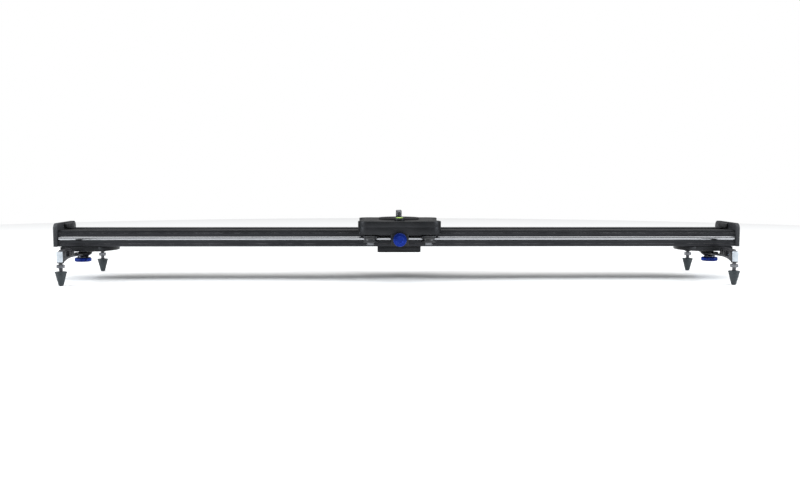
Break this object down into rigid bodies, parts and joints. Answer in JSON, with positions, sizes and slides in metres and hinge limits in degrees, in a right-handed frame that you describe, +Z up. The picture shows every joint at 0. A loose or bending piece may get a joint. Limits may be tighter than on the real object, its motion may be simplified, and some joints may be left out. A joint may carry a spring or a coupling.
{
  "type": "camera slider",
  "caption": "Camera slider: a roller carriage with a side brake runs along an aluminium rail on swivelling leg brackets with screw-in cone feet.",
  "frame": {"origin": "on the floor plane under the middle of the rail, at the level of the feet's tips", "axes": "+X along the rail to the operator's right, -Y towards the operator (brake knob side), +Z up"},
  "size_m": [1, 0.2164, 0.102],
  "materials": {
    "black_anodised": "satin black anodised aluminium",
    "bracket_paint": "charcoal semi-matt paint on cast aluminium, bare metal on the milled tip faces",
    "black_paint": "fine textured black powder coat",
    "chromed_rod": "hard-chromed ground steel",
    "plated_steel": "zinc-plated steel",
    "dark_steel": "black-oxide steel",
    "blue_anodised": "royal blue anodised aluminium, knurled",
    "foot_rubber": "dark slate moulded rubber",
    "rubber": "black rubber",
    "roller_polymer": "black acetal",
    "level_vial": "clear acrylic vial with yellow-green liquid"
  },
  "bodies": {
    "rail": {"rail": "black_anodised", "guide_rod_front": "chromed_rod", "guide_rod_rear": "chromed_rod", "end_cap_left": "black_paint", "end_cap_right": "black_paint", "bumper_left": "rubber", "bumper_right": "rubber", "end_cap_screw_left_front": "dark_steel", "end_cap_screw_left_rear": "dark_steel", "end_cap_screw_right_front": "dark_steel", "end_cap_screw_right_rear": "dark_steel", "leg_pivot_bolt_left": "dark_steel", "leg_pivot_bolt_right": "dark_steel", "leg_mount_left": "black_anodised", "leg_mount_right": "black_anodised", "tripod_plate": "black_anodised", "tripod_pad": "rubber", "tripod_bolt_left": "dark_steel", "tripod_bolt_right": "dark_steel"},
    "carriage": {"carriage": "black_anodised", "camera_pad": "rubber", "camera_stud": "plated_steel", "level_cup": "black_anodised", "level_vial": "level_vial", "roller_axle_left_front": "plated_steel", "roller_axle_left_rear": "plated_steel", "roller_axle_right_front": "plated_steel", "roller_axle_right_rear": "plated_steel", "roller_spacer_left_front": "plated_steel", "roller_spacer_left_rear": "plated_steel", "roller_spacer_right_front": "plated_steel", "roller_spacer_right_rear": "plated_steel"},
    "roller_left_front": {"roller_left_front": "roller_polymer"},
    "roller_left_rear": {"roller_left_rear": "roller_polymer"},
    "roller_right_front": {"roller_right_front": "roller_polymer"},
    "roller_right_rear": {"roller_right_rear": "roller_polymer"},
    "brake_knob": {"brake_knob": "blue_anodised"},
    "brake_shoe": {"brake_shoe": "roller_polymer"},
    "leg_left": {"leg_bracket_left": "bracket_paint", "leg_washer_left": "plated_steel", "foot_washer_left_front": "dark_steel", "foot_washer_left_rear": "dark_steel"},
    "leg_knob_left": {"leg_knob_left": "blue_anodised"},
    "leg_right": {"leg_bracket_right": "bracket_paint", "leg_washer_right": "plated_steel", "foot_washer_right_front": "dark_steel", "foot_washer_right_rear": "dark_steel"},
    "leg_knob_right": {"leg_knob_right": "blue_anodised"},
    "foot_left_front": {"foot_cone_left_front": "foot_rubber"},
    "foot_stem_left_front": {"foot_stem_left_front": "plated_steel"},
    "foot_lock_nut_left_front": {"foot_lock_nut_left_front": "plated_steel"},
    "foot_left_rear": {"foot_cone_left_rear": "foot_rubber"},
    "foot_stem_left_rear": {"foot_stem_left_rear": "plated_steel"},
    "foot_lock_nut_left_rear": {"foot_lock_nut_left_rear": "plated_steel"},
    "foot_right_front": {"foot_cone_right_front": "foot_rubber"},
    "foot_stem_right_front": {"foot_stem_right_front": "plated_steel"},
    "foot_lock_nut_right_front": {"foot_lock_nut_right_front": "plated_steel"},
    "foot_right_rear": {"foot_cone_right_rear": "foot_rubber"},
    "foot_stem_right_rear": {"foot_stem_right_rear": "plated_steel"},
    "foot_lock_nut_right_rear": {"foot_lock_nut_right_rear": "plated_steel"}
  },
  "joints": [
    {"name": "carriage_slide", "type": "slide", "parent": "rail", "child": "carriage", "axis": [1, 0, 0], "range_m": [-0.425, 0.425]},
    {"name": "roller_spin_left_front", "type": "hinge", "parent": "carriage", "child": "roller_left_front", "pos_m": [-0.042, -0.0514, 0.062], "axis": [0, 0, 1], "continuous": true},
    {"name": "roller_spin_left_rear", "type": "hinge", "parent": "carriage", "child": "roller_left_rear", "pos_m": [-0.042, 0.0514, 0.062], "axis": [0, 0, 1], "continuous": true},
    {"name": "roller_spin_right_front", "type": "hinge", "parent": "carriage", "child": "roller_right_front", "pos_m": [0.042, -0.0514, 0.062], "axis": [0, 0, 1], "continuous": true},
    {"name": "roller_spin_right_rear", "type": "hinge", "parent": "carriage", "child": "roller_right_rear", "pos_m": [0.042, 0.0514, 0.062], "axis": [0, 0, 1], "continuous": true},
    {"name": "brake_turn", "type": "hinge", "parent": "carriage", "child": "brake_knob", "pos_m": [0, -0.072, 0.062], "axis": [0, 1, 0], "range_deg": [0, 360]},
    {"name": "brake_press", "type": "slide", "parent": "carriage", "child": "brake_shoe", "axis": [0, 1, 0], "range_m": [0, 0.0007]},
    {"name": "leg_swivel_left", "type": "hinge", "parent": "rail", "child": "leg_left", "pos_m": [-0.471, 0, 0.0415], "axis": [0, 0, 1], "range_deg": [0, 90]},
    {"name": "leg_knob_turn_left", "type": "hinge", "parent": "rail", "child": "leg_knob_left", "pos_m": [-0.471, 0, 0.028], "axis": [0, 0, 1], "range_deg": [0, 360]},
    {"name": "leg_swivel_right", "type": "hinge", "parent": "rail", "child": "leg_right", "pos_m": [0.471, 0, 0.0415], "axis": [0, 0, 1], "range_deg": [0, 90]},
    {"name": "leg_knob_turn_right", "type": "hinge", "parent": "rail", "child": "leg_knob_right", "pos_m": [0.471, 0, 0.028], "axis": [0, 0, 1], "range_deg": [0, 360]},
    {"name": "foot_height_left_front", "type": "slide", "parent": "leg_left", "child": "foot_left_front", "axis": [0, 0, 1], "range_m": [-0.01, 0]},
    {"name": "foot_stem_turn_left_front", "type": "hinge", "parent": "foot_left_front", "child": "foot_stem_left_front", "pos_m": [-0.471, -0.1, 0.03], "axis": [0, 0, 1], "range_deg": [-3600, 0]},
    {"name": "foot_lock_nut_turn_left_front", "type": "hinge", "parent": "foot_stem_left_front", "child": "foot_lock_nut_left_front", "pos_m": [-0.471, -0.1, 0.03], "axis": [0, 0, 1], "continuous": true},
    {"name": "foot_height_left_rear", "type": "slide", "parent": "leg_left", "child": "foot_left_rear", "axis": [0, 0, 1], "range_m": [-0.01, 0]},
    {"name": "foot_stem_turn_left_rear", "type": "hinge", "parent": "foot_left_rear", "child": "foot_stem_left_rear", "pos_m": [-0.471, 0.1, 0.03], "axis": [0, 0, 1], "range_deg": [-3600, 0]},
    {"name": "foot_lock_nut_turn_left_rear", "type": "hinge", "parent": "foot_stem_left_rear", "child": "foot_lock_nut_left_rear", "pos_m": [-0.471, 0.1, 0.03], "axis": [0, 0, 1], "continuous": true},
    {"name": "foot_height_right_front", "type": "slide", "parent": "leg_right", "child": "foot_right_front", "axis": [0, 0, 1], "range_m": [-0.01, 0]},
    {"name": "foot_stem_turn_right_front", "type": "hinge", "parent": "foot_right_front", "child": "foot_stem_right_front", "pos_m": [0.471, -0.1, 0.03], "axis": [0, 0, 1], "range_deg": [-3600, 0]},
    {"name": "foot_lock_nut_turn_right_front", "type": "hinge", "parent": "foot_stem_right_front", "child": "foot_lock_nut_right_front", "pos_m": [0.471, -0.1, 0.03], "axis": [0, 0, 1], "continuous": true},
    {"name": "foot_height_right_rear", "type": "slide", "parent": "leg_right", "child": "foot_right_rear", "axis": [0, 0, 1], "range_m": [-0.01, 0]},
    {"name": "foot_stem_turn_right_rear", "type": "hinge", "parent": "foot_right_rear", "child": "foot_stem_right_rear", "pos_m": [0.471, 0.1, 0.03], "axis": [0, 0, 1], "range_deg": [-3600, 0]},
    {"name": "foot_lock_nut_turn_right_rear", "type": "hinge", "parent": "foot_stem_right_rear", "child": "foot_lock_nut_right_rear", "pos_m": [0.471, 0.1, 0.03], "axis": [0, 0, 1], "continuous": true}
  ],
  "couplings": [
    {"joint": "roller_spin_left_front", "follows": "carriage_slide", "rad_per_m": 111.11},
    {"joint": "roller_spin_left_rear", "follows": "carriage_slide", "rad_per_m": -111.11},
    {"joint": "roller_spin_right_front", "follows": "carriage_slide", "rad_per_m": 111.11},
    {"joint": "roller_spin_right_rear", "follows": "carriage_slide", "rad_per_m": -111.11},
    {"joint": "brake_turn", "follows": "brake_press", "rad_per_m": 8976},
    {"joint": "foot_stem_turn_left_front", "follows": "foot_height_left_front", "rad_per_m": 6283.2},
    {"joint": "foot_stem_turn_left_rear", "follows": "foot_height_left_rear", "rad_per_m": 6283.2},
    {"joint": "foot_stem_turn_right_front", "follows": "foot_height_right_front", "rad_per_m": 6283.2},
    {"joint": "foot_stem_turn_right_rear", "follows": "foot_height_right_rear", "rad_per_m": 6283.2}
  ]
}
